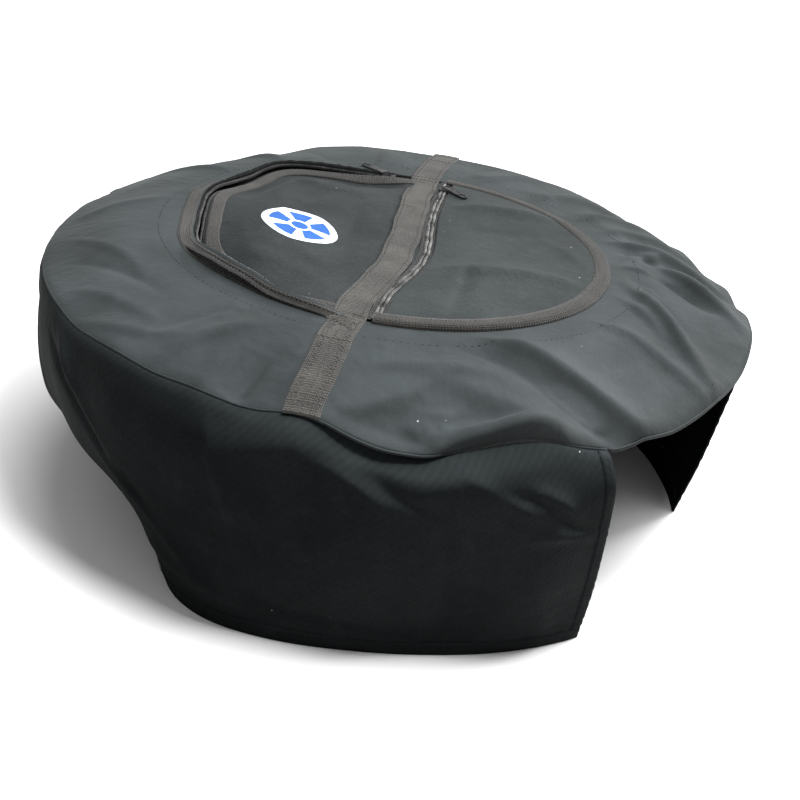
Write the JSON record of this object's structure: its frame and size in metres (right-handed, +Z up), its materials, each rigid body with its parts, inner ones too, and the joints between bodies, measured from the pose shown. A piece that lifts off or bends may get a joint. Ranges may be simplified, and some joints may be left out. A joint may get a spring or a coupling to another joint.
{
  "type": "spare tire cover",
  "caption": "Round cloth cover for a spare tire, with a webbing strap, a zipped storage lid, a flat zipped pocket and an open gap in its side wall.",
  "frame": {"origin": "centre of the foot of the side wall, on the axis of the disc", "axes": "+Z up along the disc's axis; the strap runs along Y, the lid is on the -X side, the flat pocket and the gap in the wall on the +X side"},
  "size_m": [0.654, 0.654, 0.2411],
  "materials": {
    "black_cloth": "matt black coated polyester twill",
    "dark_lining": "matt black lining cloth",
    "grey_webbing": "ribbed grey-brown webbing and tape",
    "zip_tape": "fine black zip tape",
    "zip_coil": "nylon coil",
    "slider_metal": "dark plated die-cast metal",
    "badge_white": "printed film"
  },
  "bodies": {
    "cover": {"face_panel": "black_cloth", "side_wall": "black_cloth", "rim_binding": "black_cloth", "strap": "grey_webbing", "opening_tape": "grey_webbing", "arc_zip_outer_tape": "zip_tape", "arc_zip_outer_coil": "zip_coil", "pocket_panel": "black_cloth", "pocket_arc_tape": "grey_webbing", "pocket_zip_strap_tape": "zip_tape", "pocket_zip_strap_coil": "zip_coil", "pocket_zip_panel_tape": "zip_tape", "pocket_zip_panel_coil": "zip_coil", "storage_bag_wall": "dark_lining", "storage_bag_floor": "dark_lining"},
    "lid": {"lid_panel": "black_cloth", "lid_tape": "grey_webbing", "arc_zip_lid_tape": "zip_tape", "arc_zip_lid_coil": "zip_coil", "badge": "badge_white"},
    "arc_slider": {"arc_slider": "slider_metal"},
    "arc_pull": {"arc_pull": "slider_metal"},
    "pocket_slider": {"pocket_slider": "slider_metal"},
    "pocket_pull": {"pocket_pull": "slider_metal"}
  },
  "joints": [
    {"name": "lid_hinge", "type": "hinge", "parent": "cover", "child": "lid", "pos_m": [-0.0262, 0, 0.2336], "axis": [0, 1, 0], "range_deg": [0, 160]},
    {"name": "arc_slider_travel", "type": "hinge", "parent": "lid", "child": "arc_slider", "pos_m": [0, 0, 0.231], "axis": [0, 0, 1], "range_deg": [0, 147]},
    {"name": "arc_pull_flip", "type": "hinge", "parent": "arc_slider", "child": "arc_pull", "pos_m": [-0.04775, 0.17821, 0.2341], "axis": [0.515, 0.8572, 0], "range_deg": [0, 180]},
    {"name": "pocket_slider_travel", "type": "slide", "parent": "cover", "child": "pocket_slider", "axis": [0, -1, 0], "range_m": [0, 0.305]},
    {"name": "pocket_pull_flip", "type": "hinge", "parent": "pocket_slider", "child": "pocket_pull", "pos_m": [0.014, 0.158, 0.2387], "axis": [-0.6947, -0.7193, 0], "range_deg": [0, 180]}
  ]
}
